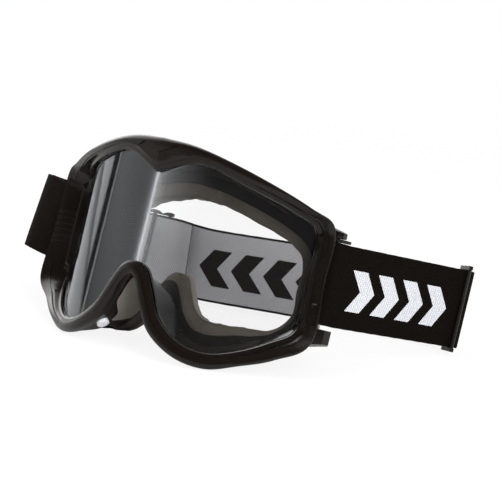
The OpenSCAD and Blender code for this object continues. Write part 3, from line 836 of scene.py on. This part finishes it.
# Right side: the same stretches, with the run bowed out by its own spring.
for label, off, start in (("run", 0, 500), ("return", layer, 700)):
    way = route(bow(off), 8)
    middle = len(way) // 2
    for part, first, last in (("front", 0, middle), ("rear", middle, len(way) - 1)):
        piece = webbing("right_%s_%s" % (label, part), way, start, -1, first, last)
        dressed(piece, plain_black, "right_strap_" + label)
        if part == "front":
            at_rest(way[3])
            at_rest(way[middle - 2])
            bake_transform(piece)
        else:
            at_rest(way[middle + 2])
            at_rest(way[-3])
            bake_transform(piece)
piece = dressed(webbing("right_turn", turn(-90, -1), 492, 1), plain_black, "right_strap_loop")
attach(piece, "right_clip")
way = route([right_pt(-pitch - 5.6, -pass_in), right_pt(-pitch, -pass_in),
             right_pt(-pitch * 0.62, 0.5), right_pt(0, pass_out), right_pt(pitch * 0.62, 0.5),
             right_pt(pitch, -pass_in), right_pt(pitch + 3, -pass_in + 0.1)], 6)
piece = dressed(webbing("right_crossing", way, 600, -1), plain_black, "right_strap_crossing")
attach(piece, "right_slider")
way = route([right_pt(-pitch - 5.6, -pass_out), right_pt(-pitch, -pass_out),
             right_pt(-pitch * 0.36, -0.8), right_pt(0, pass_in), right_pt(pitch * 0.36, -0.8),
             right_pt(pitch, -pass_out), right_pt(pitch + 8, -pass_out - 0.8, right_z, 0.2),
             right_pt(pitch + 16, -pass_out - 3.4, right_z - 0.4, 0.6)], 6)
piece = dressed(webbing("right_tail", way, 800, -1), plain_black, "right_strap_tail")
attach(piece, "right_slider")

# Floor and lamps: a plain white table, a wide softbox at the front left, one overhead
# and a smaller one at the right.
table = bpy.data.meshes.new("table")
table.from_pydata([(-6, -6, 0), (6, -6, 0), (6, 6, 0), (-6, 6, 0)], [], [(0, 1, 2, 3)])
table = bpy.data.objects.new("table", table)
bpy.context.scene.collection.objects.link(table)
paper, tone, where = finish("white_paper")
seen = tone.node("LightPath", {}, {}, 0)
reach = tone.node("VectorMath", {"operation": "LENGTH"}, {0: where}, 1)
tree = paper.node_tree
set_shader(paper, Base_Color=(0.9, 0.9, 0.9, 1), Roughness=0.95)
glow = tone.node("Emission", {}, {"Color": (1, 1, 1, 1), "Strength": 1.0})
lit = Tone(tree, tree.nodes["Principled BSDF"].outputs[0])
both = tone.node("MixShader", {}, {0: seen * (reach.step(250, 1200) * 0.12 + 0.88), 1: lit,
                                  2: glow})
tree.links.new(both.socket, tree.nodes["Material Output"].inputs[0])
table.data.materials.append(paper)


def softbox(name, azimuth, height, distance, width, tall, power, aim=(0, -0.02, 0.05)):
    """A flat lamp at an azimuth round the front, 0 ahead of the lens, + to the right."""
    a = math.radians(azimuth)
    lamp = bpy.data.lights.new(name, "AREA")
    lamp.shape, lamp.size, lamp.size_y, lamp.energy = "RECTANGLE", width, tall, power
    box = bpy.data.objects.new(name, lamp)
    bpy.context.scene.collection.objects.link(box)
    place = Vector((math.sin(a) * distance, -math.cos(a) * distance, height))
    box.matrix_world = (Matrix.Translation(place)
                        @ (place - Vector(aim)).to_track_quat("Z", "Y").to_matrix().to_4x4())
    box.visible_camera = box.visible_glossy = False
    return box


softbox("front_left", -44, 0.55, 1.2, 1.7, 1.0, 14)
softbox("overhead", 10, 1.5, 0.2, 1.2, 1.2, 10)
softbox("right_fill", 62, 0.7, 1.3, 0.7, 0.8, 22)

# Studio and camera: white behind the goggles, dim at the right. The lens and the
# plastics mirror a grey screen at the left, with a thin bright gap and a dark edge
# beside it, and a pale wall at the far left with a bright window high in it.
world = bpy.data.worlds.new("studio")
bpy.context.scene.world = world
world.use_nodes = True
tone = Tone(world.node_tree)
seen = tone.node("LightPath", {}, {}, 0)
mirrored = Tone(world.node_tree, seen.socket.node.outputs["Is Glossy Ray"])
x, y, z = tone.node("TexCoord", {}, {}, 0).parts()
leftward = y * 0.3 - x * 0.95 + z * z * 0.4 + z.step(0.15, 0.5) * 0.2
wall = leftward.step(0.935, 0.955) * (1.5 + z.step(0.05, 0.25) * 3.6)
gap = leftward.step(0.882, 0.89) * (1 - leftward.step(0.9, 0.908))
screen = leftward.step(-0.2, 0.6) * (1 - leftward.step(0.872, 0.882))
screen = screen * (z.step(-0.02, 0.14) * 0.75 + 0.25) * (1 - z.step(0.3, 0.45))
studio = 0.08 + wall + gap * 1.6 + screen + z.step(0.45, 0.95) * 0.06
sky = world.node_tree.nodes["Background"]
light = mirrored * studio + (1 - mirrored) * 0.5
tone.tree.links.new(seen.sum("MAXIMUM", seen, light).socket, sky.inputs[0])
sky.inputs[1].default_value = 1.0


def turned(v):
    """A direction in the goggles' own frame, leaned back as they lie."""
    return (at_rest(v) - at_rest((0, 0, 0))) * 1000


camera = bpy.data.cameras.new("camera")
camera.sensor_width, camera.lens = 36, 150.58
camera.clip_start, camera.clip_end = 0.05, 20
eye = bpy.data.objects.new("camera", camera)
bpy.context.scene.collection.objects.link(eye)
right, up, back = [turned(v) for v in ((0.78311, 0.57561, 0.23554), (-0.17916, -0.15392, 0.97179),
                                       (0.59558, -0.80317, -0.01741))]
turn_to = Matrix((right.normalized(), up.normalized(), back.normalized())).transposed().to_4x4()
eye.matrix_world = Matrix.Translation(at_rest((642.75, -779.1, -12.12))) @ turn_to
bpy.context.scene.camera = eye
bpy.context.scene.view_settings.view_transform = "Standard"
